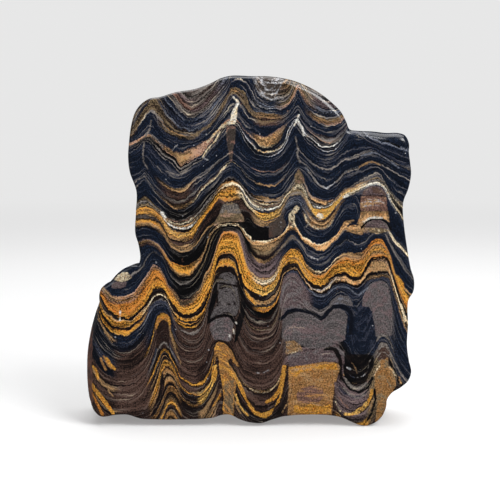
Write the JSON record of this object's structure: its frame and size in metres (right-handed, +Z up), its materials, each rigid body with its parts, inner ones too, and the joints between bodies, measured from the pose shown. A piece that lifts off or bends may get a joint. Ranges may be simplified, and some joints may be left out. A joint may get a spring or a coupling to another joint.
{
  "type": "stromatolite",
  "caption": "Polished freeform slab of banded stromatolite, with gold, cream, grey and navy laminae folded in deep troughs, standing on its flat-cut base.",
  "frame": {"origin": "centre of the slab's bounding box, on the surface that it stands on", "axes": "+Z up the standing slab, -Y out of the flat polished face, +X to the right as seen from the front"},
  "size_m": [0.2145, 0.0562, 0.2273],
  "materials": {
    "banded_stone": "polished"
  },
  "bodies": {
    "root": {"stromatolite": "banded_stone"}
  },
  "joints": []
}
